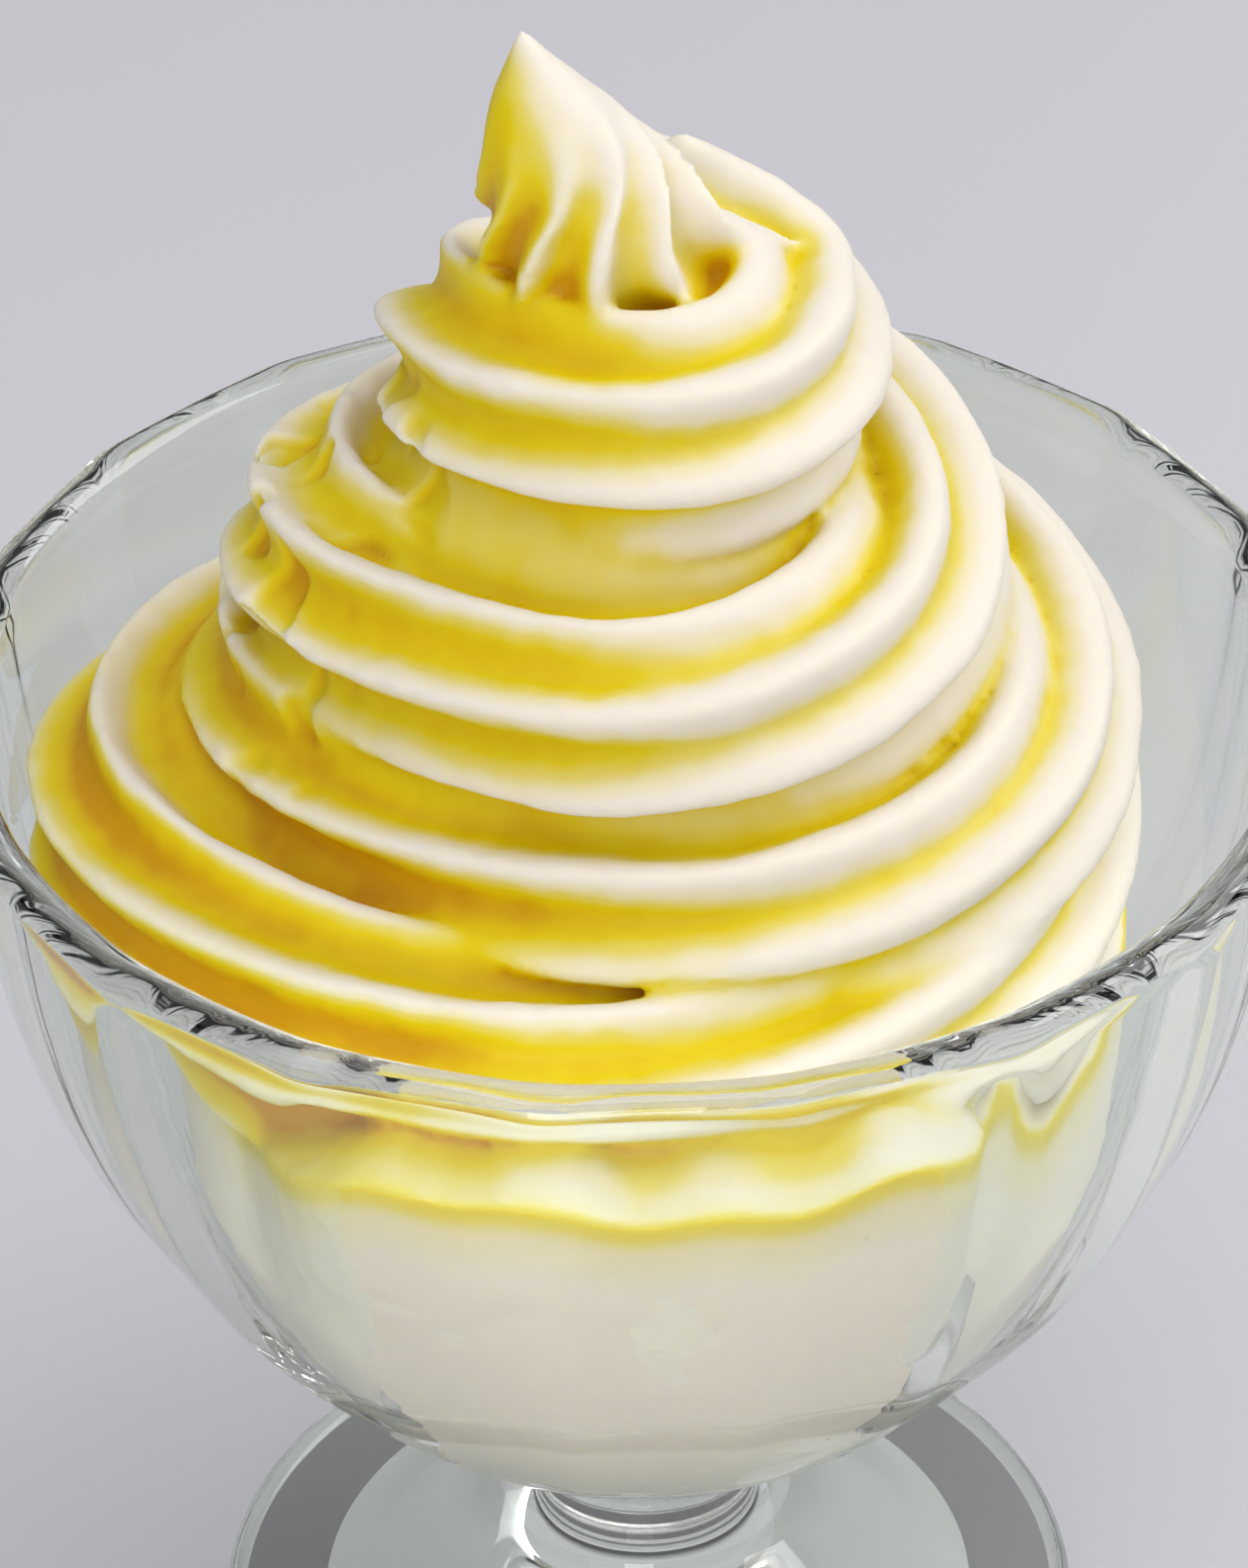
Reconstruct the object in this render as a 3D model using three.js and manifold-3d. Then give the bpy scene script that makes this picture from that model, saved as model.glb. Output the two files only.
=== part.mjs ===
import * as THREE from 'three';
import { mergeVertices } from 'three/addons/utils/BufferGeometryUtils.js';
import Module from 'manifold-3d';

// Lemon sorbet piped as a tall swirl into a footed cup of thick pressed glass.
// Millimetres, +Z up. The front is towards -Y, and the origin is at the centre of the foot's underside.

const wasm = await Module();
wasm.setup();

// ---- Driving dimensions ------------------------------------------------------------------

const cupHeight = 98.5; // table to rim
const rimInnerRadius = 52;
const rimWall = 4.2; // at the corner between two panels
const panelCount = 18;
const firstCornerAzimuth = -8; // degrees from the front, positive towards +X
const ringSides = 2 * panelCount; // a corner and the middle of a panel by turns

const bowlDepthOutside = 75; // rim to the joint with the stem
const bowlDepthInside = 66;
const panelsEndDepth = 72; // the panels have faded to round here
const panelsFadeDepth = 46; // and begin to fade here

const stemJointRadius = 11.4;
const stemWaistRadius = 9.4;
const footRadius = 36.5;
const footEdgeHeight = 3.6;
const footRingInner = 27.5; // the flat ring that the cup stands on
const footRingOuter = 34.4;
const footRecess = 2.6; // the underside inside that ring is hollow

const ropeRadius = 10.5; // the piped rope, to the crest of a ridge
const ridgeCount = 8;
const ridgeDepth = 2.5;
// Turns down from the front of the top coil, and where one crest of the rope's section lies there,
// in degrees above level: the ridges roll over the rope as it winds up, least at the top.
const crestAngles = [
  { turns: -0.25, angle: 47 },
  { turns: 0, angle: 45 },
  { turns: 0.25, angle: 31 },
  { turns: 1, angle: -106 },
  { turns: 1.25, angle: -134 },
  { turns: 2.25, angle: -309 },
  { turns: 3.5, angle: -512 },
];

// What shows of each coil from the front, from the top one down: how far out it reaches, how far
// the coil's centre sits to the side, and the height of the rope's middle above the rim.
const coils = [
  { reach: 20.4, aside: 0.7, height: 30.4 },
  { reach: 32, aside: -1, height: 12.2 },
  { reach: 38.4, aside: 2.8, height: -2.4 },
  { reach: 46, aside: -4.9, height: -12.4 },
  { reach: 38, aside: -1, height: -22 },
];
// Each coil is drawn in at its left front and bulges at its right front. Degrees and millimetres.
const coilShape = [
  { azimuth: -45, extra: -3 },
  { azimuth: 35, extra: 2 },
];
const coilShapeHalfWidth = 60;
const turnsDown = 3.5; // from the front of the top coil to the rope's buried start
const evenClimb = 0.15; // the share of the climb that is even
const climbBegins = 0.2; // the rest is made round the back, between these shares of a turn
const climbEnds = 0.8;
const stepDegrees = 15;
const lengthDegrees = 300; // the rope is joined from lengths that stay short of a full turn
const plugShare = 0.8; // each length begins with a plug this much as wide, inside the one before

// The rope leaves the top coil at the right, turns in round the back and is pulled up to a tip that
// leans to the left: how far aside, how far back, the height above the rim and the rope's radius.
const peak = [
  { aside: 9.8, back: 3.2, height: 31.4, radius: 10.4 },
  { aside: 6.6, back: 4.8, height: 33.6, radius: 10.3 },
  { aside: 1.4, back: 2.8, height: 38, radius: 10.3 },
  { aside: -2.4, back: -0.6, height: 43, radius: 9.7 },
  { aside: -4.6, back: -0.9, height: 48.4, radius: 7.4 },
  { aside: -6.4, back: -0.4, height: 54.2, radius: 4 },
  { aside: -7.6, back: 0, height: 60.2, radius: 0.3 },
];
const peakStart = -0.25; // turns, where the rope leaves the top coil
const peakLead = 0.12; // turns before that, for a smooth start of the way up
const peakRoll = -7; // degrees that the ridges roll over between the top coil and the foot of the tip
const peakRollEnds = 0.6; // the share of the way up by which they have done so
const tipTwist = -81; // degrees that they roll over on the tip
const tipTwistBegins = 0.55;
const tipTwistEnds = 0.85;
const peakSteps = 18;

// The body of sorbet under the rope, in depths below the rim. At the front it is pressed against the
// wall, elsewhere it stands free of it until it settles out onto the wall near the bottom.
const pressedTop = 13.6;
const freeTop = 22;
const freeRadius = 40;
const freeGap = 3.5; // at least, between the free body and the wall
const pressedWithin = 26; // degrees to either side of the front
const freeBeyond = 42;
const settlesFrom = 46;
const settledBelow = 58;
const bodySteps = 9;
const shoulder = { share: 0.92, rise: 1.2 }; // the body's top, drawn in and up from its edge
const coreGap = 0.5; // the core stays this far inside the rope's middle line
const coreTip = { radius: 1, rise: 0.6 * ropeRadius }; // its end, above the middle of the top coil
const wallGap = 0.3; // between sorbet and glass

// ---- Helpers -----------------------------------------------------------------------------

const radians = THREE.MathUtils.degToRad;
const mix = THREE.MathUtils.lerp;
const rim = cupHeight;
const up = new THREE.Vector3(0, 0, 1);

// A point at an azimuth counted from the front towards +X.
function around(radius, azimuth, height) {
  return new THREE.Vector3(radius * Math.sin(azimuth), -radius * Math.cos(azimuth), height);
}

// A closed skin over rings of equally many points, with a flat fan over the first and last ring.
function skin(rings) {
  const sides = rings[0].length;
  const points = rings.flat();
  const faces = [];
  for (let ring = 0; ring + 1 < rings.length; ring++) {
    for (let side = 0; side < sides; side++) {
      const a = ring * sides + side;
      const b = ring * sides + ((side + 1) % sides);
      faces.push(a, b, b + sides, a, b + sides, a + sides);
    }
  }
  const closeEnd = (ring, first, outwards) => {
    const centre = ring.reduce((sum, point) => sum.add(point), new THREE.Vector3()).divideScalar(sides);
    points.push(centre);
    for (let side = 0; side < sides; side++) {
      const a = first + side;
      const b = first + ((side + 1) % sides);
      faces.push(points.length - 1, ...(outwards ? [a, b] : [b, a]));
    }
  };
  closeEnd(rings[0], 0, false);
  closeEnd(rings.at(-1), (rings.length - 1) * sides, true);
  const geometry = new THREE.BufferGeometry().setFromPoints(points);
  geometry.setIndex(faces);
  return geometry;
}

function toSolid(geometry) {
  const bare = geometry.clone();
  bare.deleteAttribute('normal');
  bare.deleteAttribute('uv');
  const merged = mergeVertices(bare, 1e-4);
  return new wasm.Manifold(new wasm.Mesh({
    numProp: 3,
    vertProperties: new Float32Array(merged.attributes.position.array),
    triVerts: new Uint32Array(merged.index.array),
  }));
}

function toGeometry(solid) {
  const mesh = solid.getMesh();
  const geometry = new THREE.BufferGeometry();
  geometry.setAttribute('position', new THREE.BufferAttribute(mesh.vertProperties, 3));
  geometry.setIndex(new THREE.BufferAttribute(mesh.triVerts, 1));
  geometry.computeVertexNormals();
  return geometry;
}

// ---- Glass cup ---------------------------------------------------------------------------

// The outside of the bowl from the rim down, and its inside, as radius and height.
const rimOuterRadius = rimInnerRadius + rimWall;
const bowlOutside = new THREE.CubicBezierCurve(
  new THREE.Vector2(rimOuterRadius, rim),
  new THREE.Vector2(rimOuterRadius - 2.2, rim - 0.44 * bowlDepthOutside),
  new THREE.Vector2(0.7 * rimOuterRadius, rim - 0.785 * bowlDepthOutside),
  new THREE.Vector2(stemJointRadius, rim - bowlDepthOutside),
);
const bowlInside = new THREE.CubicBezierCurve(
  new THREE.Vector2(rimInnerRadius, rim),
  new THREE.Vector2(rimInnerRadius - 2, rim - 0.47 * bowlDepthInside),
  new THREE.Vector2(0.73 * rimInnerRadius, rim - bowlDepthInside),
  new THREE.Vector2(0, rim - bowlDepthInside),
);
const insideSteps = 12;

// How far the outside is a panel rather than round, at a height.
function panelShare(height) {
  return THREE.MathUtils.smoothstep(height, rim - panelsEndDepth, rim - panelsFadeDepth);
}

// One ring of the glass. A panel lies flat between its two corners.
function glassRing(radius, height, share) {
  const halfPanel = Math.PI / panelCount;
  const panelMiddle = Math.cos(halfPanel);
  return Array.from({ length: ringSides }, (_, side) => {
    const azimuth = radians(firstCornerAzimuth) + side * halfPanel;
    const pressed = side % 2 === 0 ? 1 : mix(1, panelMiddle, share);
    return around(radius * pressed, azimuth, height);
  });
}

function footRings() {
  return [
    [10, footRecess, 0],
    [20, 0.65 * footRecess, 0],
    [footRingInner, 0, 0],
    [footRingOuter, 0, 0],
    [footRadius - 0.6, 0.7, 0],
    [footRadius, 0.5 * footEdgeHeight, 0],
    [footRadius - 0.6, footEdgeHeight - 0.6, 0],
    [footRingOuter, footEdgeHeight, 0],
    [0.76 * footRadius, footEdgeHeight + 0.9, 0],
    [0.55 * footRadius, footEdgeHeight + 2.4, 0],
    [0.4 * footRadius, footEdgeHeight + 4.6, 0],
    [stemWaistRadius + 1.4, footEdgeHeight + 7.6, 0],
    [stemWaistRadius, footEdgeHeight + 11.4, 0],
    [stemWaistRadius + 0.5, rim - bowlDepthOutside - 3.4, 0],
  ];
}

function bowlOutsideRings() {
  const steps = 13;
  const rings = [];
  for (let step = 0; step < steps; step++) {
    const { x: radius, y: height } = bowlOutside.getPoint(1 - step / steps);
    rings.push([radius, height, panelShare(height)]);
  }
  return rings;
}

// The fire-polished top of the wall is a half round from the outside to the inside.
function rimRings() {
  const halfWall = rimWall / 2;
  const steps = 5;
  const rings = [];
  for (let step = 0; step <= steps; step++) {
    const turn = (Math.PI * step) / steps;
    const radius = rimInnerRadius + halfWall + halfWall * Math.cos(turn);
    rings.push([radius, rim - halfWall + halfWall * Math.sin(turn), 1 - step / steps]);
  }
  return rings;
}

function bowlInsideRings() {
  const rings = [];
  for (let step = 1; step < insideSteps; step++) {
    const { x: radius, y: height } = bowlInside.getPoint(step / insideSteps);
    rings.push([radius, height, 0]);
  }
  return rings;
}

function glassGeometry() {
  const profile = [...footRings(), ...bowlOutsideRings(), ...rimRings(), ...bowlInsideRings()];
  return skin(profile.map(([radius, height, share]) => glassRing(radius, height, share)));
}

// ---- Sorbet: the route of the piped rope ---------------------------------------------------

// A size of the coils after so many turns down from the front of the top coil.
function coilSize(size, turns) {
  const coil = THREE.MathUtils.clamp(Math.floor(turns), 0, coils.length - 2);
  const part = turns - coil;
  const roundTheBack = THREE.MathUtils.smoothstep(part, climbBegins, climbEnds);
  return mix(coils[coil][size], coils[coil + 1][size], mix(roundTheBack, part, evenClimb));
}

// How much further out the coil lies at this place than a round one.
function coilShapeExtra(turns) {
  const azimuth = THREE.MathUtils.euclideanModulo(180 - 360 * turns, 360) - 180;
  return coilShape.reduce((total, bump) => {
    const aside = Math.min(Math.abs(azimuth - bump.azimuth) / coilShapeHalfWidth, 1);
    return total + bump.extra * Math.cos((Math.PI / 2) * aside) ** 2;
  }, 0);
}

function coilPoint(turns) {
  const radius = coilSize('reach', turns) - ropeRadius + coilShapeExtra(turns);
  const point = around(radius, -2 * Math.PI * turns, 0);
  point.x += coilSize('aside', turns);
  point.z = rim + coilSize('height', turns);
  return point;
}

// Where one crest of the section lies, in degrees above level.
function coilCrestAngle(turns) {
  const next = Math.max(crestAngles.findIndex((known) => known.turns >= turns), 1);
  const before = crestAngles[next - 1];
  const after = crestAngles[next];
  return mix(before.angle, after.angle, (turns - before.turns) / (after.turns - before.turns));
}

// The stations of the rope from its buried start up to the tip: place, radius, whether it lies on a
// coil, and the angle of one crest.
function ropeStations() {
  const stations = [];
  const coilSteps = Math.round(((turnsDown - peakStart) * 360) / stepDegrees);
  for (let step = 0; step <= coilSteps; step++) {
    const turns = mix(turnsDown, peakStart, step / coilSteps);
    const crestAngle = coilCrestAngle(turns);
    stations.push({ place: coilPoint(turns), radius: ropeRadius, onCoil: true, crestAngle });
  }
  const before = coilPoint(peakStart + peakLead);
  const start = coilPoint(peakStart);
  const route = new THREE.CatmullRomCurve3([
    before,
    start,
    ...peak.map(({ aside, back, height }) => new THREE.Vector3(aside, back, rim + height)),
  ]);
  const radii = [ropeRadius, ropeRadius, ...peak.map(({ radius }) => radius)];
  const widths = new THREE.SplineCurve(radii.map((radius, index) => new THREE.Vector2(index, radius)));
  const first = 1 / (peak.length + 1);
  for (let step = 1; step <= peakSteps; step++) {
    const along = mix(first, 1, step / peakSteps);
    const rolled = peakRoll * THREE.MathUtils.smoothstep(along, first, peakRollEnds);
    const twisted = tipTwist * THREE.MathUtils.smoothstep(along, tipTwistBegins, tipTwistEnds);
    const crestAngle = coilCrestAngle(peakStart) + rolled + twisted;
    const { y: radius } = widths.getPoint(along);
    stations.push({ place: route.getPoint(along), radius, onCoil: false, crestAngle });
  }
  return stations;
}

// Across the rope, one direction points away from the swirl's axis and the other upwards.
// Past the coils the outward direction is carried along unchanged but for the rope's own bend.
function addDirections(stations) {
  stations.forEach((station, index) => {
    const before = stations[Math.max(index - 1, 0)];
    const after = stations[Math.min(index + 1, stations.length - 1)];
    const heading = after.place.clone().sub(before.place).normalize();
    const outward = station.onCoil ? heading.clone().cross(up) : before.outward.clone();
    outward.addScaledVector(heading, -outward.dot(heading)).normalize();
    Object.assign(station, { heading, outward, upward: outward.clone().cross(heading) });
  });
  stations.forEach((station, index) => {
    const before = stations[Math.max(index - 1, 0)];
    const after = stations[Math.min(index + 1, stations.length - 1)];
    station.bend = after.heading.clone().sub(before.heading);
    station.bend.divideScalar(after.place.distanceTo(before.place));
  });
  return stations;
}

// ---- Sorbet: the ridged section ------------------------------------------------------------

const pointsPerRidge = 4;
const bendShare = 0.8; // on the inside of a bend, the section stays within this share of its radius

// One ring round the rope. On the inside of a bend the section is pressed flat, so that it never
// reaches past the bend's own centre.
function ropeRing({ place, radius: reach, crestAngle, outward, upward, bend }) {
  const sides = ridgeCount * pointsPerRidge;
  const firstCrest = radians(crestAngle);
  const curvature = Math.max(bend.length(), 1e-6);
  const inward = bend.clone().divideScalar(curvature);
  const furthestIn = bendShare / curvature;
  return Array.from({ length: sides }, (_, side) => {
    const angle = firstCrest - (2 * Math.PI * side) / sides;
    const crest = 0.5 + 0.5 * Math.cos(ridgeCount * (angle - firstCrest));
    const radius = reach * (1 - (ridgeDepth / ropeRadius) * (1 - crest));
    const offset = outward.clone().multiplyScalar(radius * Math.cos(angle));
    offset.addScaledVector(upward, radius * Math.sin(angle));
    offset.addScaledVector(inward, -Math.max(offset.dot(inward) - furthestIn, 0));
    return place.clone().add(offset);
  });
}

// A ring drawn in towards its own middle, for a plug.
function drawnIn(ring) {
  const middle = ring.reduce((sum, point) => sum.add(point), new THREE.Vector3()).divideScalar(ring.length);
  return ring.map((point) => middle.clone().lerp(point, plugShare));
}

// The rope lies on its own coils, so it is joined from lengths, each plugged into the one before it.
function ropeSolid() {
  const rings = addDirections(ropeStations()).map(ropeRing);
  const lengthSteps = lengthDegrees / stepDegrees;
  let rope = toSolid(skin(rings.slice(0, lengthSteps + 1)));
  for (let first = lengthSteps; first < rings.length - 1; first += lengthSteps) {
    const length = [drawnIn(rings[first - 1]), ...rings.slice(first, first + lengthSteps + 1)];
    rope = rope.add(toSolid(skin(length)));
  }
  return rope;
}

// ---- Sorbet: what the rope lies on and against ---------------------------------------------

function lathed(profile) {
  const points = profile.map(([radius, height]) => new THREE.Vector2(radius, height));
  const geometry = new THREE.LatheGeometry(points, ringSides);
  geometry.rotateX(Math.PI / 2);
  geometry.rotateZ(radians(firstCornerAzimuth));
  return toSolid(geometry);
}

// The inside of the bowl less the gap, from its flat bottom up to the rim.
function insideLessGap() {
  const points = [];
  for (let step = insideSteps - 1; step >= 0; step--) {
    const along = step / insideSteps;
    const { x: radius, y: height } = bowlInside.getPoint(along);
    const slope = bowlInside.getTangent(along);
    points.push([radius + wallGap * slope.y, height - wallGap * slope.x]);
  }
  const bottomHeight = points[0][1];
  return [[0, bottomHeight], ...points];
}

// How far the sorbet may reach at a height below the rim.
function wallReach(height) {
  const [, ...wall] = insideLessGap();
  const above = Math.max(wall.findIndex(([, wallHeight]) => wallHeight >= height), 1);
  const [lowerRadius, lowerHeight] = wall[above - 1];
  const [upperRadius, upperHeight] = wall[above];
  return mix(lowerRadius, upperRadius, (height - lowerHeight) / (upperHeight - lowerHeight));
}

// 1 at the front, where the body is pressed against the wall, and 0 where it stands free.
function pressedShare(azimuth) {
  const turned = Math.cos(azimuth);
  return THREE.MathUtils.smoothstep(turned, Math.cos(radians(freeBeyond)), Math.cos(radians(pressedWithin)));
}

// A point of the body's side, so far of the way from the bottom of the bowl up to the body's top.
function bodyPoint(azimuth, share) {
  const pressed = pressedShare(azimuth);
  const [[, bottomHeight]] = insideLessGap();
  const height = mix(bottomHeight, rim - mix(freeTop, pressedTop, pressed), share);
  const wall = wallReach(height);
  const settled = THREE.MathUtils.smoothstep(rim - height, settlesFrom, settledBelow);
  const free = Math.min(freeRadius, wall - freeGap);
  return around(mix(free, wall, Math.max(pressed, settled)), azimuth, height);
}

// The body of sorbet fills the bowl under the coils, and its core fills the middle of the swirl.
function bodySolid() {
  const ring = (pointAt) => Array.from({ length: ringSides }, (_, side) => (
    pointAt(radians(firstCornerAzimuth) + (2 * Math.PI * side) / ringSides)
  ));
  const rings = [];
  for (let step = 0; step <= bodySteps; step++) {
    rings.push(ring((azimuth) => bodyPoint(azimuth, step / bodySteps)));
  }
  rings.push(rings.at(-1).map(({ x, y, z }) => (
    new THREE.Vector3(x * shoulder.share, y * shoulder.share, z + shoulder.rise)
  )));
  for (const { reach, height } of coils.toReversed().slice(1)) {
    rings.push(ring((azimuth) => around(reach - ropeRadius - coreGap, azimuth, rim + height)));
  }
  rings.push(ring((azimuth) => around(coreTip.radius, azimuth, rim + coils[0].height + coreTip.rise)));
  return toSolid(skin(rings));
}

function sorbetGeometry() {
  const aboveTip = rim + peak.at(-1).height + ropeRadius;
  const room = lathed([...insideLessGap(), [rimInnerRadius - wallGap, aboveTip], [0, aboveTip]]);
  const piped = ropeSolid().add(bodySolid()).intersect(room);
  // Only the largest skin is kept, so no small hollow stays shut in between the coils.
  const bodies = piped.decompose().sort((one, other) => other.volume() - one.volume());
  return toGeometry(bodies[0]);
}

// ---- The object ----------------------------------------------------------------------------

const glass = new THREE.MeshStandardMaterial({ color: 0xdfe3dd, roughness: 0.05, metalness: 0 });
glass.transparent = true;
glass.opacity = 0.35;
const lemonSorbet = new THREE.MeshStandardMaterial({ color: 0xece0a0, roughness: 0.5, metalness: 0 });

function named(name, geometry, material) {
  const mesh = new THREE.Mesh(geometry, material);
  mesh.name = name;
  return mesh;
}

const sorbetCup = new THREE.Group();
sorbetCup.add(named('glass_cup', glassGeometry(), glass));
sorbetCup.add(named('sorbet_swirl', sorbetGeometry(), lemonSorbet));

export default sorbetCup;
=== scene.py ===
"""Lemon sorbet piped into a footed cup of thick pressed glass: the looks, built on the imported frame.

Shapes are worked out in millimetres, +Z up, the front towards -Y, and turned into metres as each
mesh is made. The glass and the sorbet both replace their plainer solids and follow the same formulas
with more points, softer corners and small unevenness.
"""

import math

import bpy
import numpy as np
from mathutils import Matrix, Vector, noise


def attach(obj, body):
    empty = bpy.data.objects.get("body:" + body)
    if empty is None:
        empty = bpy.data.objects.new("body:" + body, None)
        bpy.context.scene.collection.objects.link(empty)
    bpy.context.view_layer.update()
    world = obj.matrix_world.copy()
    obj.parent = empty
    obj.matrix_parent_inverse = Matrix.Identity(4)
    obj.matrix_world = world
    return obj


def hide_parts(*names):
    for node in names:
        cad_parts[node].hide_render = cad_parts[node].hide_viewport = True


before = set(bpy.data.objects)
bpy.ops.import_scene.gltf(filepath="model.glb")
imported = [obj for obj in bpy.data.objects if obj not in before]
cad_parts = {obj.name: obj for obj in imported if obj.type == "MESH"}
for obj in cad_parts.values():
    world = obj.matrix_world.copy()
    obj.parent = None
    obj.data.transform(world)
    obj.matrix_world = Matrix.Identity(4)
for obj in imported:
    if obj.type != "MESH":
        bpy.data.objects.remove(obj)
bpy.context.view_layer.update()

# ---- Driving dimensions, in millimetres and degrees ------------------------------------------

MM = 0.001
CUP_HEIGHT = 98.5
RIM_INNER_RADIUS = 52.0
RIM_WALL = 4.2
RIM_OUTER_RADIUS = RIM_INNER_RADIUS + RIM_WALL
PANEL_COUNT = 18
FIRST_CORNER_AZIMUTH = -8.0
POINTS_PER_PANEL = 16
GLASS_WAVE = 0.06  # how far the pressed glass waves in and out
GLASS_WAVE_LENGTH = 14.0

BOWL_DEPTH_OUTSIDE = 75.0
BOWL_DEPTH_INSIDE = 66.0
PANELS_END_DEPTH = 72.0
PANELS_FADE_DEPTH = 46.0

STEM_JOINT_RADIUS = 11.4
STEM_WAIST_RADIUS = 9.4
FOOT_RADIUS = 36.5
FOOT_EDGE_HEIGHT = 3.6
FOOT_RING_INNER = 27.5
FOOT_RING_OUTER = 34.4
FOOT_RECESS = 2.6

ROPE_RADIUS = 10.5  # to the crest of a ridge
RIDGE_COUNT = 8
POINTS_PER_RIDGE = 20
RIDGE_DEPTH = 3.0
RIDGES_FADE = (0.5, 0.78)  # turns above the peak's start between which the ridges run out
CREST_POWER_RIGHT = 0.75  # broad crests and narrow hollows
CREST_POWER_LEFT = 1.9  # thin crests and broad hollows
# Turns down from the front of the top coil, and where one crest of the section lies there, in
# degrees above level: the ridges roll over the rope as it winds up, least at the top.
CREST_ANGLES = [(-0.25, 47), (0, 45), (0.25, 31), (1, -106), (1.25, -134), (2.25, -309), (3.5, -512)]
BEND_SHARE = 0.8  # on the inside of a bend, the section stays within this share of its radius
STEP_DEGREES = 2.0

# What shows of each coil from the front, from the top one down: how far out it reaches, how far the
# coil's centre sits to the side, and the height of the rope's middle above the rim.
COILS = [
    {"reach": 20.4, "aside": 0.7, "height": 30.4},
    {"reach": 32.0, "aside": -1.0, "height": 12.2},
    {"reach": 38.4, "aside": 2.8, "height": -2.4},
    {"reach": 46.0, "aside": -4.9, "height": -12.4},
    {"reach": 38.0, "aside": -1.0, "height": -22.0},
]
TURNS_DOWN = 3.5  # from the front of the top coil to the rope's buried start
EVEN_CLIMB = 0.15  # the share of the climb that is even
CLIMB = (0.2, 0.8)  # the rest is made round the back, between these shares of a turn
# Each coil is drawn in at its left front and bulges at its right front: azimuth and millimetres.
COIL_SHAPE = [(-45.0, -3.0), (35.0, 2.0)]
COIL_SHAPE_HALF_WIDTH = 60.0
PEAK_START = -0.25  # turns, where the rope leaves the top coil
PEAK_LEAD = 0.12  # turns before that, for a smooth start of the way up
PEAK_ROLL = -7.0  # degrees that the ridges roll over between the top coil and the foot of the tip
PEAK_ROLL_ENDS = 0.6  # the share of the way up by which they have done so
TIP_TWIST = -81.0  # degrees that they roll over on the tip
TIP_TWIST_SPAN = (0.55, 0.85)
PEAK_STEPS = 120
# Aside, back, height above the rim and radius of the rope on its way to the tip.
PEAK = [
    (9.8, 3.2, 31.4, 10.4),
    (6.6, 4.8, 33.6, 10.3),
    (1.4, 2.8, 38.0, 10.3),
    (-2.4, -0.6, 43.0, 9.7),
    (-4.6, -0.9, 48.4, 7.4),
    (-6.4, -0.4, 54.2, 4.0),
    (-7.6, 0.0, 60.2, 0.3),
]

CORE_OUT = 3.0  # the core in the middle of the swirl reaches this far past the rope's middle line
CORE_TIP_RADIUS = 0.5
CORE_TIP_RISE = 0.6 * ROPE_RADIUS
PRESSED_TOP = 13.6  # depth below the rim at which the body of sorbet meets the wall at the front
FREE_TOP = 22.0  # and where it ends elsewhere, under the rope
FREE_RADIUS = 40.0
FREE_GAP = 3.5  # at least, between the free body and the wall
PRESSED_WITHIN = 24.0  # degrees to either side of the front
FREE_BEYOND = 48.0
SETTLES = (46.0, 58.0)  # depths between which the free body settles out onto the wall
SHOULDER = [(0.96, 0.8), (0.9, 1.2), (0.8, 1.2)]  # the body's top: share of its radius, and rise
INTO_WALL = 0.15  # the sorbet reaches this far into the glass, so that no air shows between them
TEAR_DEPTH = 0.7  # of the notches in the crests on the left
VOXEL = 0.5  # the joined skin's fineness

# ---- Camera: the photo's viewing angle -------------------------------------------------------

PHOTO_WIDTH = 1262
PHOTO_HEIGHT = 1585
SENSOR = 36.0
CAMERA_ELEVATION = 35.4
CAMERA_ROLL = -1.0
CAMERA_DISTANCE = 690.0
FOCAL_PIXELS = 8720
RIM_CENTRE_PIXEL = (641, 681)  # where the middle of the rim lies in the photo


def turned(first, second, angle):
    """Two directions at right angles, turned together by an angle, the first away from the second."""
    cosine, sine = math.cos(angle), math.sin(angle)
    return first * cosine - second * sine, second * cosine + first * sine


def photo_camera():
    """Looks down at the rim, which lies off the middle of the picture."""
    elevation = math.radians(CAMERA_ELEVATION)
    rim_centre = Vector((0, 0, CUP_HEIGHT * MM))
    away = Vector((0, -math.cos(elevation), math.sin(elevation)))
    place = rim_centre + CAMERA_DISTANCE * MM * away
    ahead = (rim_centre - place).normalized()
    right = ahead.cross(Vector((0, 0, 1))).normalized()
    up = right.cross(ahead)
    yaw = math.atan((RIM_CENTRE_PIXEL[0] - PHOTO_WIDTH / 2) / FOCAL_PIXELS)
    pitch = math.atan((RIM_CENTRE_PIXEL[1] - PHOTO_HEIGHT / 2) / FOCAL_PIXELS)
    ahead, right = turned(ahead, right, yaw)
    up, ahead = turned(up, ahead, pitch)
    up, right = turned(up, right, math.radians(CAMERA_ROLL))
    data = bpy.data.cameras.new("photo_camera")
    data.lens = FOCAL_PIXELS * SENSOR / max(PHOTO_WIDTH, PHOTO_HEIGHT)
    data.sensor_width = SENSOR
    data.clip_start = 0.01
    camera = bpy.data.objects.new("photo_camera", data)
    turn = Matrix((right, up, -ahead)).transposed().to_4x4()
    camera.matrix_world = Matrix.Translation(place) @ turn
    bpy.context.scene.collection.objects.link(camera)
    bpy.context.scene.camera = camera


# ---- Helpers ---------------------------------------------------------------------------------


def mix(first, second, share):
    return first + (second - first) * share


def smoothstep(value, low, high):
    part = np.clip((value - low) / (high - low), 0.0, 1.0)
    return part * part * (3 - 2 * part)


def around(radius, azimuth, height):
    """Points at azimuths in radians, counted from the front towards +X."""
    radius, azimuth, height = np.broadcast_arrays(radius, azimuth, height)
    return np.stack([radius * np.sin(azimuth), -radius * np.cos(azimuth), height], axis=-1)


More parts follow.
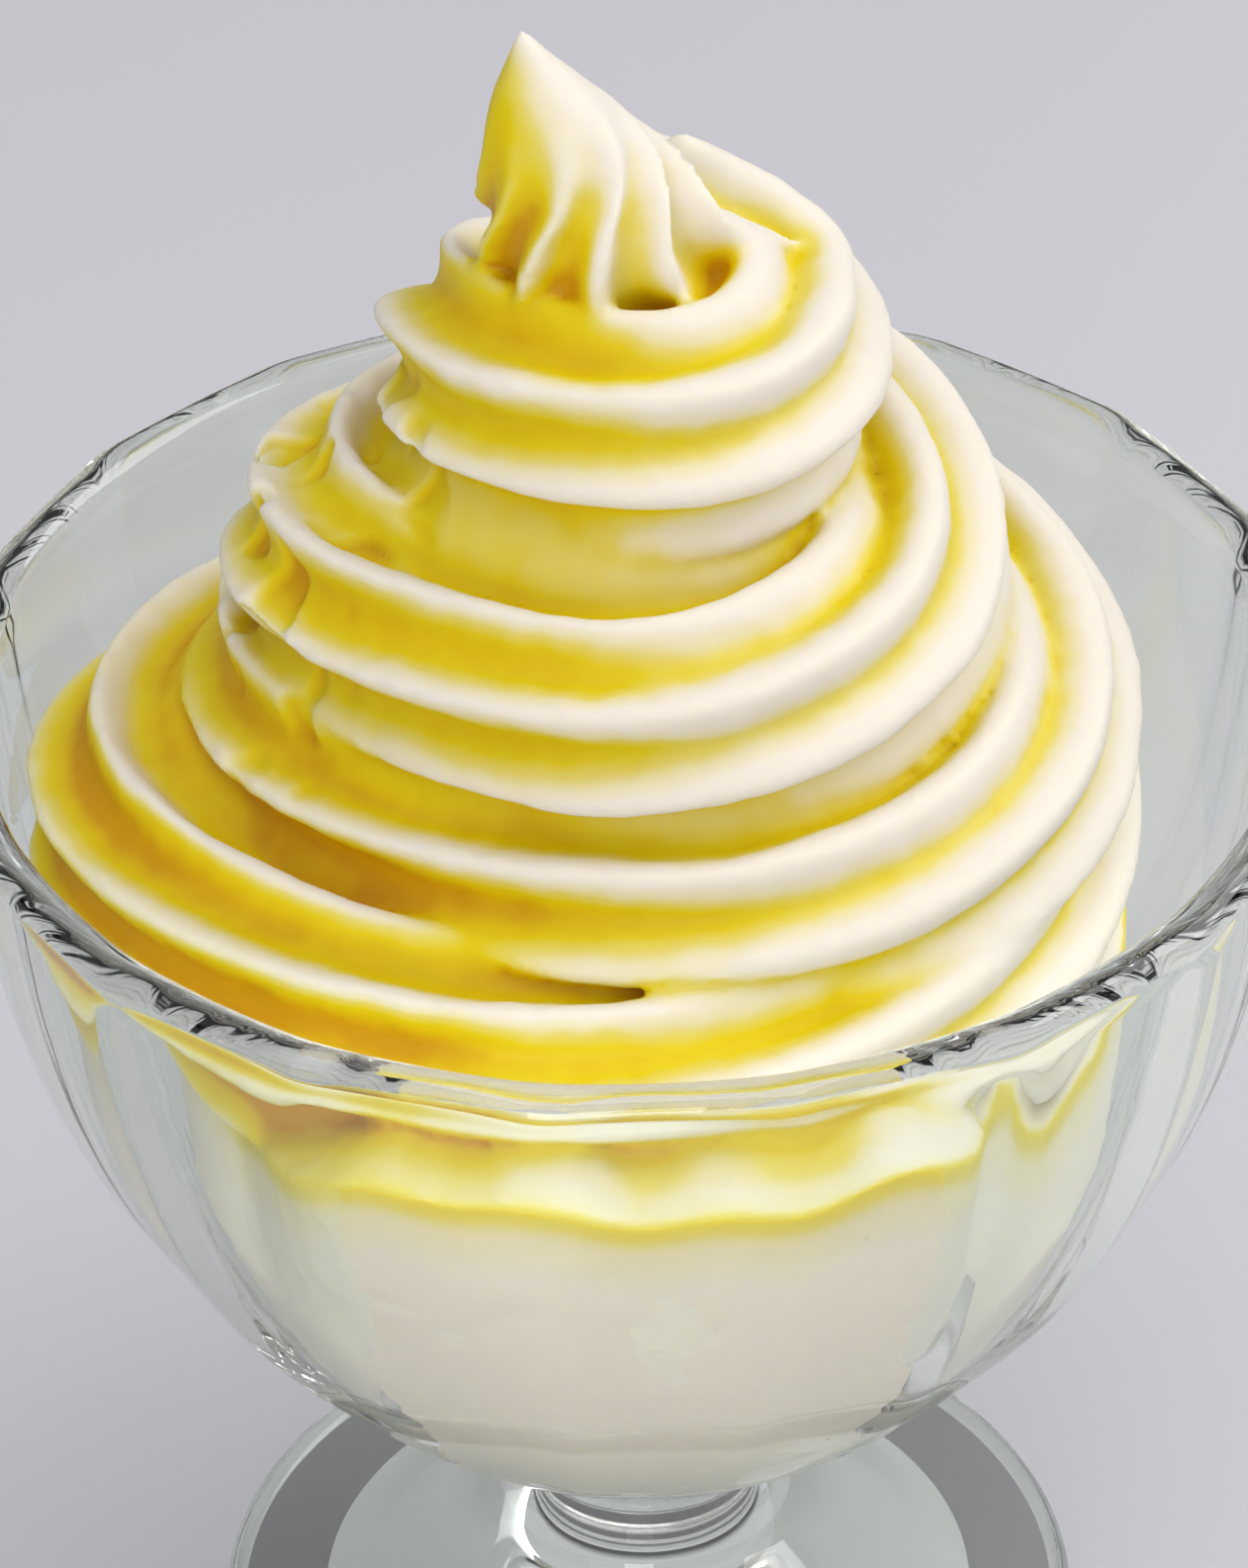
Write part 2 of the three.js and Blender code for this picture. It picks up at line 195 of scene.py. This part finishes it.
def skin(rings, closed_ends=True):
    """Points and faces of a skin over rings of equally many points, fanned over both ends."""
    rings = np.asarray(rings, dtype=float)
    count, sides = rings.shape[:2]
    points = rings.reshape(-1, 3)
    side = np.arange(sides)
    following = (side + 1) % sides
    base = (np.arange(count - 1) * sides)[:, None]
    quads = np.stack([base + side, base + following, base + following + sides, base + side + sides], axis=-1)
    faces = [tuple(face) for face in quads.reshape(-1, 4).tolist()]
    if closed_ends:
        middles = np.array([rings[0].mean(axis=0), rings[-1].mean(axis=0)])
        points = np.vstack([points, middles])
        first_middle = count * sides
        last_ring = (count - 1) * sides
        faces += [(first_middle, int(b), int(a)) for a, b in zip(side, following)]
        faces += [(first_middle + 1, last_ring + int(a), last_ring + int(b)) for a, b in zip(side, following)]
    return points, faces


def mesh_object(name, points, faces):
    mesh = bpy.data.meshes.new(name)
    mesh.from_pydata((np.asarray(points) * MM).tolist(), [], faces)
    mesh.validate()
    mesh.update()
    piece = bpy.data.objects.new(name, mesh)
    bpy.context.scene.collection.objects.link(piece)
    return piece


def shade_smooth(piece):
    piece.data.polygons.foreach_set("use_smooth", [True] * len(piece.data.polygons))


def bezier(points, along):
    """Points of a cubic curve with the four given control points."""
    start, first, second, end = (np.asarray(point, dtype=float) for point in points)
    along = np.asarray(along, dtype=float)[:, None]
    rest = 1 - along
    return rest**3 * start + 3 * rest**2 * along * first + 3 * rest * along**2 * second + along**3 * end


def through(points, along):
    """A smooth curve through rows of numbers (centripetal Catmull-Rom), at one share of its way."""
    points = np.asarray(points, dtype=float)
    last = len(points) - 1
    index = min(int(along * last), last - 1)
    part = along * last - index
    before = points[index - 1] if index > 0 else 2 * points[0] - points[1]
    start, end = points[index], points[index + 1]
    after = points[index + 2] if index + 2 <= last else 2 * points[last] - points[last - 1]
    spans = ((before, start), (start, end), (end, after))
    gaps = [max(np.linalg.norm(far[:3] - near[:3]) ** 0.5, 1e-4) for near, far in spans]
    slope_start = (start - before) / gaps[0] - (end - before) / (gaps[0] + gaps[1]) + (end - start) / gaps[1]
    slope_end = (end - start) / gaps[1] - (after - start) / (gaps[1] + gaps[2]) + (after - end) / gaps[2]
    slope_start *= gaps[1]
    slope_end *= gaps[1]
    return (
        start
        + slope_start * part
        + (-3 * start + 3 * end - 2 * slope_start - slope_end) * part**2
        + (2 * start - 2 * end + slope_start + slope_end) * part**3
    )


def waves(points, scale, seed):
    """Smooth noise between -1 and 1 at each point, in millimetres."""
    shift = Vector((seed * 17.3, seed * 5.1, seed * 9.7))
    return np.array([noise.noise(Vector(point) / scale + shift) for point in points])


# ---- Glass cup -------------------------------------------------------------------------------


def bowl_outside(along):
    return bezier(
        [
            (RIM_OUTER_RADIUS, CUP_HEIGHT),
            (RIM_OUTER_RADIUS - 2.2, CUP_HEIGHT - 0.44 * BOWL_DEPTH_OUTSIDE),
            (0.7 * RIM_OUTER_RADIUS, CUP_HEIGHT - 0.785 * BOWL_DEPTH_OUTSIDE),
            (STEM_JOINT_RADIUS, CUP_HEIGHT - BOWL_DEPTH_OUTSIDE),
        ],
        along,
    )


def bowl_inside(along):
    return bezier(
        [
            (RIM_INNER_RADIUS, CUP_HEIGHT),
            (RIM_INNER_RADIUS - 2, CUP_HEIGHT - 0.47 * BOWL_DEPTH_INSIDE),
            (0.73 * RIM_INNER_RADIUS, CUP_HEIGHT - BOWL_DEPTH_INSIDE),
            (0, CUP_HEIGHT - BOWL_DEPTH_INSIDE),
        ],
        along,
    )


def panel_share(height):
    return smoothstep(height, CUP_HEIGHT - PANELS_END_DEPTH, CUP_HEIGHT - PANELS_FADE_DEPTH)


def rounded(profile, steps):
    """A smooth line with several steps between each two points of a profile."""
    profile = np.asarray(profile, dtype=float)
    flat = np.column_stack([profile[:, 0], profile[:, 1], np.zeros(len(profile))])
    count = (len(profile) - 1) * steps
    return np.array([through(flat, step / count)[:2] for step in range(count + 1)])


def foot_profile():
    underside = [
        (0.1, FOOT_RECESS),
        (10, FOOT_RECESS),
        (20, 0.65 * FOOT_RECESS),
        (FOOT_RING_INNER, 0),
        (31, 0),
    ]
    edge = [(FOOT_RING_OUTER, 0), (FOOT_RADIUS - 0.6, 0.7), (FOOT_RADIUS, 0.5 * FOOT_EDGE_HEIGHT)]
    top = [
        (FOOT_RADIUS - 0.6, FOOT_EDGE_HEIGHT - 0.6),
        (FOOT_RING_OUTER, FOOT_EDGE_HEIGHT),
        (0.76 * FOOT_RADIUS, FOOT_EDGE_HEIGHT + 0.9),
        (0.55 * FOOT_RADIUS, FOOT_EDGE_HEIGHT + 2.4),
        (0.4 * FOOT_RADIUS, FOOT_EDGE_HEIGHT + 4.6),
        (STEM_WAIST_RADIUS + 1.4, FOOT_EDGE_HEIGHT + 7.6),
        (STEM_WAIST_RADIUS, FOOT_EDGE_HEIGHT + 11.4),
        (STEM_WAIST_RADIUS + 0.5, CUP_HEIGHT - BOWL_DEPTH_OUTSIDE - 3.4),
        (STEM_JOINT_RADIUS, CUP_HEIGHT - BOWL_DEPTH_OUTSIDE),
    ]
    smooth = rounded(underside, 4)[:-1].tolist() + rounded([underside[-1]] + edge + top, 5).tolist()
    return [(max(radius, 0.1), max(height, 0.0), 0.0) for radius, height in smooth]


def rim_profile():
    half_wall = RIM_WALL / 2
    turn = np.linspace(0, math.pi, 17)
    radius = RIM_INNER_RADIUS + half_wall + half_wall * np.cos(turn)
    height = CUP_HEIGHT - half_wall + half_wall * np.sin(turn)
    return list(zip(radius, height, 1 - turn / math.pi))


def glass_rings():
    """Rings of the glass. Each panel lies flat between two softened corners."""
    outside = [(r, h, float(panel_share(h))) for r, h in bowl_outside(np.linspace(1, 0, 70)[1:-2])]
    inside = [(r, h, 0.0) for r, h in bowl_inside(np.linspace(0, 0.995, 70)[2:])]
    half_panel = math.pi / PANEL_COUNT
    sides = PANEL_COUNT * POINTS_PER_PANEL
    azimuth = math.radians(FIRST_CORNER_AZIMUTH) + np.arange(sides) * 2 * math.pi / sides
    from_middle = (np.arange(sides) % POINTS_PER_PANEL) * 2 * half_panel / POINTS_PER_PANEL - half_panel
    flat = math.cos(half_panel) / np.cos(from_middle)
    softened = (flat + np.roll(flat, 1) + np.roll(flat, -1)) / 3
    rings = []
    for radius, height, share in foot_profile() + outside + rim_profile() + inside:
        rings.append(around(radius * mix(1.0, softened, share), azimuth, height))
    return np.array(rings)


def make_glass():
    rings = glass_rings()
    points, faces = skin(rings)
    outward = points * np.array([1.0, 1.0, 0.0])
    outward /= np.maximum(np.linalg.norm(outward, axis=1, keepdims=True), 1e-6)
    points += outward * (GLASS_WAVE * waves(points, GLASS_WAVE_LENGTH, 3))[:, None]
    glass = mesh_object("pressed_glass", points, faces)
    shade_smooth(glass)
    glass.data.materials.append(glass_material())
    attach(glass, "root")
    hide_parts("glass_cup")
    return glass


# ---- Sorbet: the piped rope ------------------------------------------------------------------


def coil_size(size, turns):
    coil = int(min(max(math.floor(turns), 0), len(COILS) - 2))
    part = turns - coil
    climbed = mix(float(smoothstep(part, *CLIMB)), part, EVEN_CLIMB)
    return mix(COILS[coil][size], COILS[coil + 1][size], climbed)


def coil_shape(turns):
    """How much further out the coil lies here than a round one, least on the tight top coil."""
    azimuth = (180 - 360 * turns) % 360 - 180
    total = 0.0
    for middle, extra in COIL_SHAPE:
        aside = min(abs(azimuth - middle) / COIL_SHAPE_HALF_WIDTH, 1.0)
        total += extra * math.cos(0.5 * math.pi * aside) ** 2
    return total * min(coil_size("reach", turns) / COILS[1]["reach"], 1.0) ** 2


def coil_point(turns):
    radius = coil_size("reach", turns) - ROPE_RADIUS + coil_shape(turns)
    point = around(radius, -2 * math.pi * turns, 0.0)
    return point + np.array([coil_size("aside", turns), 0.0, CUP_HEIGHT + coil_size("height", turns)])


def coil_crest_angle(turns):
    known_turns, known_angles = zip(*CREST_ANGLES)
    return float(np.interp(turns, known_turns, known_angles))


def rope_stations():
    """Place, radius, crest angle and turns of each ring, from the buried start up to the tip."""
    steps = round((TURNS_DOWN - PEAK_START) * 360 / STEP_DEGREES)
    stations = []
    for turns in np.linspace(TURNS_DOWN, PEAK_START, steps + 1):
        stations.append((*coil_point(turns), ROPE_RADIUS, coil_crest_angle(turns), turns))
    before = [*coil_point(PEAK_START + PEAK_LEAD), ROPE_RADIUS]
    start = [*coil_point(PEAK_START), ROPE_RADIUS]
    way_up = [[aside, back, CUP_HEIGHT + height, radius] for aside, back, height, radius in PEAK]
    route = [before, start] + way_up
    begin = 1 / (len(route) - 1)
    for along in np.linspace(begin, 1, PEAK_STEPS + 1)[1:]:
        x, y, z, radius = through(route, along)
        rolled = PEAK_ROLL * float(smoothstep(along, begin, PEAK_ROLL_ENDS))
        twisted = TIP_TWIST * float(smoothstep(along, *TIP_TWIST_SPAN))
        crest_angle = coil_crest_angle(PEAK_START) + rolled + twisted
        stations.append((x, y, z, max(radius, 0.2), crest_angle, PEAK_START - (along - begin)))
    return np.array(stations)


def ridge_depth_share(turns):
    """The ridges run out just below the pulled tip."""
    return 1 - float(smoothstep(PEAK_START - turns, *RIDGES_FADE))


def crest_power(place):
    """Thin crests on the left of the swirl, broad ones on its right."""
    left = 0.5 - 0.5 * place[0] / max(math.hypot(place[0], place[1]), 1.0)
    return mix(CREST_POWER_RIGHT, CREST_POWER_LEFT, float(smoothstep(left, 0.0, 1.0)))


def rope_rings():
    """Rings of the ridged section, turned so that one direction points away from the swirl."""
    stations = rope_stations()
    places, radii, crest_angles, turns = stations[:, :3], stations[:, 3], stations[:, 4], stations[:, 5]
    heading = np.gradient(places, axis=0)
    heading /= np.linalg.norm(heading, axis=1, keepdims=True)
    outward = np.cross(heading, [0.0, 0.0, 1.0])
    for index in range(len(stations)):
        if turns[index] < PEAK_START:
            outward[index] = outward[index - 1]
        outward[index] -= heading[index] * outward[index].dot(heading[index])
        outward[index] /= np.linalg.norm(outward[index])
    upward = np.cross(outward, heading)
    lengths = np.linalg.norm(np.gradient(places, axis=0), axis=1, keepdims=True)
    bend = np.gradient(heading, axis=0) / lengths
    curvature = np.maximum(np.linalg.norm(bend, axis=1, keepdims=True), 1e-6)
    inward = bend / curvature
    furthest_in = BEND_SHARE / curvature
    sides = RIDGE_COUNT * POINTS_PER_RIDGE
    rings = []
    for index in range(len(stations)):
        first_crest = math.radians(crest_angles[index])
        from_crest = -2 * math.pi * np.arange(sides) / sides
        crest = (0.5 + 0.5 * np.cos(RIDGE_COUNT * from_crest)) ** crest_power(places[index])
        depth = RIDGE_DEPTH * ridge_depth_share(turns[index])
        radius = radii[index] * (1 - (depth / ROPE_RADIUS) * (1 - crest))
        angle = from_crest + first_crest
        offset = np.outer(radius * np.cos(angle), outward[index])
        offset += np.outer(radius * np.sin(angle), upward[index])
        past = np.maximum(offset @ inward[index] - furthest_in[index], 0)
        rings.append(places[index] + offset - np.outer(past, inward[index]))
    return np.array(rings)


# ---- Sorbet: what the rope lies on, and the joined skin --------------------------------------


def wall_radius(height):
    """Radius of the inside of the glass at a height."""
    curve = bowl_inside(np.linspace(0, 1, 200))
    return np.interp(height, curve[::-1, 1], curve[::-1, 0])


def pressed_share(azimuth):
    """1 at the front, where the sorbet is pressed against the wall, and 0 where it stands free."""
    free_beyond, pressed_within = math.radians(FREE_BEYOND), math.radians(PRESSED_WITHIN)
    return smoothstep(np.cos(azimuth), math.cos(free_beyond), math.cos(pressed_within))


def fill_level(azimuth):
    """How far below the rim the body of sorbet ends, round the cup."""
    ripple = 0.7 * np.sin(9 * azimuth + 0.6) + 0.5 * np.sin(23 * azimuth + 2.0)
    return mix(FREE_TOP, PRESSED_TOP, pressed_share(azimuth)) + ripple


def body_radius(azimuth, depth):
    """Pressed against the wall at the front and near the bottom, and free of it elsewhere."""
    wall = wall_radius(CUP_HEIGHT - depth) + INTO_WALL
    free = np.minimum(FREE_RADIUS, wall - FREE_GAP)
    settled = smoothstep(depth, *SETTLES)
    return mix(free, wall, np.maximum(pressed_share(azimuth), settled))


def fill_rings():
    azimuth = np.linspace(0, 2 * math.pi, 240, endpoint=False)
    level = fill_level(azimuth)
    rings = []
    for depth in np.linspace(BOWL_DEPTH_INSIDE - 0.3, 0, 60):
        depths = np.maximum(depth, level)
        rings.append(around(body_radius(azimuth, depths), azimuth, CUP_HEIGHT - depths))
    top = rings[-1]
    for share, rise in SHOULDER:
        rings.append(top * np.array([share, share, 1.0]) + np.array([0.0, 0.0, rise]))
    for coil in reversed(COILS[:-1]):
        rings.append(around(coil["reach"] - ROPE_RADIUS + CORE_OUT, azimuth, CUP_HEIGHT + coil["height"]))
    rings.append(around(CORE_TIP_RADIUS, azimuth, CUP_HEIGHT + COILS[0]["height"] + CORE_TIP_RISE))
    return np.array(rings)


def joined(name, parts):
    """One closed skin over overlapping closed parts."""
    points, faces = [], []
    for part_points, part_faces in parts:
        first = sum(len(group) for group in points)
        points.append(part_points)
        faces += [tuple(index + first for index in face) for face in part_faces]
    rough = mesh_object(name + "_rough", np.vstack(points), faces)
    remesh = rough.modifiers.new("join", "REMESH")
    remesh.mode = "VOXEL"
    remesh.voxel_size = VOXEL * MM
    evaluated = rough.evaluated_get(bpy.context.evaluated_depsgraph_get())
    mesh = bpy.data.meshes.new_from_object(evaluated)
    bpy.data.objects.remove(rough)
    mesh.name = name
    piece = bpy.data.objects.new(name, mesh)
    bpy.context.scene.collection.objects.link(piece)
    return piece


def points_of(piece):
    points = np.empty(len(piece.data.vertices) * 3)
    piece.data.vertices.foreach_get("co", points)
    return points.reshape(-1, 3) / MM


def move_points(piece, points):
    piece.data.vertices.foreach_set("co", (points * MM).ravel())
    piece.data.update()


def normals_of(piece):
    normals = np.empty(len(piece.data.vertices) * 3)
    piece.data.vertex_normals.foreach_get("vector", normals)
    return normals.reshape(-1, 3)


def averager(piece):
    """A function that gives each point the mean of its neighbours' values."""
    edges = np.empty(len(piece.data.edges) * 2, dtype=np.int64)
    piece.data.edges.foreach_get("vertices", edges)
    one, other = edges.reshape(-1, 2).T
    count = len(piece.data.vertices)
    neighbours = np.bincount(one, minlength=count) + np.bincount(other, minlength=count)

    def average(values):
        columns = [
            np.bincount(one, values[other, axis], count) + np.bincount(other, values[one, axis], count)
            for axis in range(values.shape[1])
        ]
        return np.stack(columns, axis=1) / neighbours[:, None]

    return average


def smoothed(values, average, passes):
    for _ in range(passes):
        values = 0.5 * values + 0.5 * average(values)
    return values


def press_into_bowl(points):
    """Below the rim, nothing reaches further than just into the wall."""
    radius = np.hypot(points[:, 0], points[:, 1])
    limit = wall_radius(points[:, 2]) + INTO_WALL
    limit = np.where(points[:, 2] > CUP_HEIGHT, 1e9, limit)
    points[:, :2] *= np.minimum(1.0, limit / np.maximum(radius, 1e-6))[:, None]
    points[:, 2] = np.maximum(points[:, 2], CUP_HEIGHT - BOWL_DEPTH_INSIDE - INTO_WALL)
    return points


def store(piece, name, values):
    attribute = piece.data.attributes.new(name, "FLOAT", "POINT")
    attribute.data.foreach_set("value", values.astype(np.float32))


def painted_shade_and_tone(points, normals, average):
    """How yellow the sorbet is painted, mostly as painted shade: much in the hollows and wherever it
    faces left, little on the crests and on their upper flanks, with some tone that differs at random."""
    # Painted shade: the hollows and the faces turned left are yellower, as if light falls from the right and
    # above.
    near = np.einsum("ij,ij->i", smoothed(points, average, 40) - points, normals)
    wide = np.einsum("ij,ij->i", smoothed(points, average, 200) - points, normals)
    facing = smoothed(normals, average, 60)
    depth = CUP_HEIGHT - points[:, 2]
    leftward = smoothstep(-facing[:, 0], -0.7, 0.8)
    shade_and_tone = 0.23 + 0.42 * leftward
    shade_and_tone += mix(0.44, 0.34, leftward) * near + 0.15 * wide
    # Painted light: flanks that face up are whiter than their surroundings.
    shade_and_tone -= 0.16 * (normals[:, 2] - facing[:, 2])
    # Painted shade: more yellow on the left of the peak and of the lower coils.
    shade_and_tone += leftward * (0.30 * smoothstep(-depth, 32, 42) + 0.20 * smoothstep(depth, -8, 4))
    # Tone that differs at random.
    shade_and_tone += 0.08 * waves(points, 16.0, 4) + 0.02 * waves(points, 3.0, 5)
    # The body under the coils is yellow along its top edge, painted shade under the coils, and fades to white
    # further down.
    below = depth - fill_level(np.arctan2(points[:, 0], -points[:, 1]))
    body = mix(0.64, 0.36, smoothstep(below, 0, 4))
    body = mix(body, 0.12, smoothstep(below, 2, 10))
    shade_and_tone = mix(shade_and_tone, body, smoothstep(below, -1.0, 0.5))
    return np.clip(shade_and_tone, 0, 1)


def torn_ends(points):
    """How deep the sorbet is torn at each point: small notches in the coils' crests on the left."""
    out = np.hypot(points[:, 0], points[:, 1])
    left = smoothstep(-points[:, 0] / np.maximum(out, 1), 0.75, 0.95)
    height = points[:, 2] - CUP_HEIGHT
    on_coils = smoothstep(height, -4, 4) * smoothstep(-height, -33, -28)
    notches = smoothstep(waves(points, 4.0, 8), 0.1, 0.45)
    return TEAR_DEPTH * left * on_coils * notches


def make_sorbet():
    sorbet = joined("piped_sorbet", [skin(rope_rings()), skin(fill_rings())])
    average = averager(sorbet)
    points = smoothed(points_of(sorbet), average, 3)
    move_points(sorbet, points)
    normals = normals_of(sorbet)
    uneven = 0.26 * waves(points, 9.0, 1) + 0.09 * waves(points, 2.2, 2) - torn_ends(points)
    points = points + normals * uneven[:, None]
    move_points(sorbet, press_into_bowl(points))
    store(sorbet, "painted_shade_and_tone", painted_shade_and_tone(points, normals_of(sorbet), average))
    shade_smooth(sorbet)
    sorbet.data.materials.append(sorbet_material())
    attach(sorbet, "root")
    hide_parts("sorbet_swirl")
    return sorbet


# ---- Materials -------------------------------------------------------------------------------


def linear(red, green, blue):
    """A colour given as a screen shows it, 0 to 255, in the linear numbers that shaders take."""
    return tuple(((value / 255 + 0.055) / 1.055) ** 2.4 for value in (red, green, blue)) + (1.0,)


def new_material(name):
    material = bpy.data.materials.new(name)
    material.use_nodes = True
    nodes = material.node_tree.nodes
    return material, nodes, material.node_tree.links, nodes["Principled BSDF"]


def glass_material():
    material, nodes, links, shader = new_material("pressed_clear_glass")
    shader.inputs["Base Color"].default_value = linear(241, 246, 240)
    shader.inputs["Transmission Weight"].default_value = 1.0
    shader.inputs["IOR"].default_value = 1.5
    bump = nodes.new("ShaderNodeBump")
    bump.inputs["Strength"].default_value = 0.07
    bump.inputs["Distance"].default_value = 0.4 * MM
    ripple = nodes.new("ShaderNodeTexNoise")
    ripple.inputs["Scale"].default_value = 160
    ripple.inputs["Detail"].default_value = 1
    place = nodes.new("ShaderNodeTexCoord")
    links.new(place.outputs["Object"], ripple.inputs["Vector"])
    links.new(ripple.outputs["Fac"], bump.inputs["Height"])
    links.new(bump.outputs["Normal"], shader.inputs["Normal"])
    smear = nodes.new("ShaderNodeTexNoise")
    smear.inputs["Scale"].default_value = 40
    links.new(place.outputs["Object"], smear.inputs["Vector"])
    rough = nodes.new("ShaderNodeMapRange")
    rough.inputs["From Min"].default_value = 0.45
    rough.inputs["From Max"].default_value = 0.75
    rough.inputs["To Min"].default_value = 0.0
    rough.inputs["To Max"].default_value = 0.06
    links.new(smear.outputs["Fac"], rough.inputs["Value"])
    links.new(rough.outputs["Result"], shader.inputs["Roughness"])
    # Light for shadows passes straight through, a little dimmed.
    clear = nodes.new("ShaderNodeBsdfTransparent")
    clear.inputs["Color"].default_value = (0.93, 0.94, 0.93, 1)
    path = nodes.new("ShaderNodeLightPath")
    either = nodes.new("ShaderNodeMixShader")
    links.new(path.outputs["Is Shadow Ray"], either.inputs["Fac"])
    links.new(shader.outputs["BSDF"], either.inputs[1])
    links.new(clear.outputs["BSDF"], either.inputs[2])
    links.new(either.outputs["Shader"], nodes["Material Output"].inputs["Surface"])
    return material


def sorbet_material():
    """Nearly white on the crests, with painted shade: yellow in the hollows and amber in the deepest creases.
    """
    material, nodes, links, shader = new_material("lemon_sorbet_looks")
    shade_and_tone = nodes.new("ShaderNodeAttribute")
    shade_and_tone.attribute_name = "painted_shade_and_tone"
    ramp = nodes.new("ShaderNodeValToRGB")
    links.new(shade_and_tone.outputs["Fac"], ramp.inputs["Fac"])
    # Painted shade: from the white of lit crests to the yellow and amber of shaded hollows and creases.
    stops = [
        (0.14, linear(228, 220, 207)),
        (0.36, linear(226, 216, 176)),
        (0.52, linear(222, 206, 104)),
        (0.68, linear(221, 198, 12)),
        (0.84, linear(217, 184, 3)),
        (1.00, linear(202, 148, 2)),
    ]
    elements = ramp.color_ramp.elements
    while len(elements) < len(stops):
        elements.new(0.5)
    for element, (position, colour) in zip(elements, stops):
        element.position = position
        element.color = colour
    links.new(ramp.outputs["Color"], shader.inputs["Base Color"])
    shader.inputs["Subsurface Weight"].default_value = 0.5
    shader.inputs["Subsurface Radius"].default_value = (1.0, 0.92, 0.35)
    shader.inputs["Subsurface Scale"].default_value = 2.0 * MM
    shader.inputs["Roughness"].default_value = 0.5
    shader.inputs["Specular IOR Level"].default_value = 0.18
    place = nodes.new("ShaderNodeTexCoord")
    grain = nodes.new("ShaderNodeTexNoise")
    grain.inputs["Scale"].default_value = 900
    grain.inputs["Detail"].default_value = 3
    links.new(place.outputs["Object"], grain.inputs["Vector"])
    bump = nodes.new("ShaderNodeBump")
    bump.inputs["Strength"].default_value = 0.25
    bump.inputs["Distance"].default_value = 0.15 * MM
    links.new(grain.outputs["Fac"], bump.inputs["Height"])
    links.new(bump.outputs["Normal"], shader.inputs["Normal"])
    return material


def floor_material():
    material, nodes, links, shader = new_material("pale_table")
    shader.inputs["Base Color"].default_value = linear(200, 198, 203)
    shader.inputs["Roughness"].default_value = 0.6
    return material


# ---- Floor and light -------------------------------------------------------------------------


def make_floor():
    half = 3000.0
    corners = [(-half, -half, 0), (half, -half, 0), (half, half, 0), (-half, half, 0)]
    floor = mesh_object("pale_floor", corners, [(0, 1, 2, 3)])
    floor.data.materials.append(floor_material())


def area_light(name, place, size, power):
    data = bpy.data.lights.new(name, "AREA")
    data.shape = "SQUARE"
    data.size = size
    data.energy = power
    light = bpy.data.objects.new(name, data)
    light.location = place
    aim = Vector((0, 0, 0.1)) - Vector(place)
    light.rotation_euler = aim.to_track_quat("-Z", "Y").to_euler()
    bpy.context.scene.collection.objects.link(light)


def make_world():
    """Bright overhead and dim near the horizon, which gives glass its dark lines."""
    world = bpy.data.worlds.new("studio")
    world.use_nodes = True
    nodes, links = world.node_tree.nodes, world.node_tree.links
    place = nodes.new("ShaderNodeTexCoord")
    parts = nodes.new("ShaderNodeSeparateXYZ")
    ramp = nodes.new("ShaderNodeValToRGB")
    ramp.color_ramp.elements[0].position = 0.16
    ramp.color_ramp.elements[0].color = (0.08, 0.08, 0.076, 1)
    ramp.color_ramp.elements[1].position = 0.34
    ramp.color_ramp.elements[1].color = (0.88, 0.89, 0.93, 1)
    background = nodes["Background"]
    links.new(place.outputs["Generated"], parts.inputs["Vector"])
    links.new(parts.outputs["Z"], ramp.inputs["Fac"])
    links.new(ramp.outputs["Color"], background.inputs["Color"])
    background.inputs["Strength"].default_value = 0.62
    bpy.context.scene.world = world


def make_lights():
    area_light("window", (0.6, 0.15, 0.5), 0.5, 3.0)
    area_light("sky", (0.0, -0.2, 0.9), 0.7, 2.6)
    area_light("front_fill", (-0.4, -0.75, 0.4), 0.8, 1.0)
    area_light("low_fill", (-0.1, -0.75, 0.2), 0.34, 1.7)
    make_world()
    scene = bpy.context.scene
    scene.view_settings.view_transform = "Standard"
    # Light is led a long way inside the thick wall before it leaves it again.
    scene.cycles.max_bounces = 24
    scene.cycles.glossy_bounces = 16
    scene.cycles.transmission_bounces = 16


photo_camera()
make_lights()
make_floor()
make_glass()
make_sorbet()
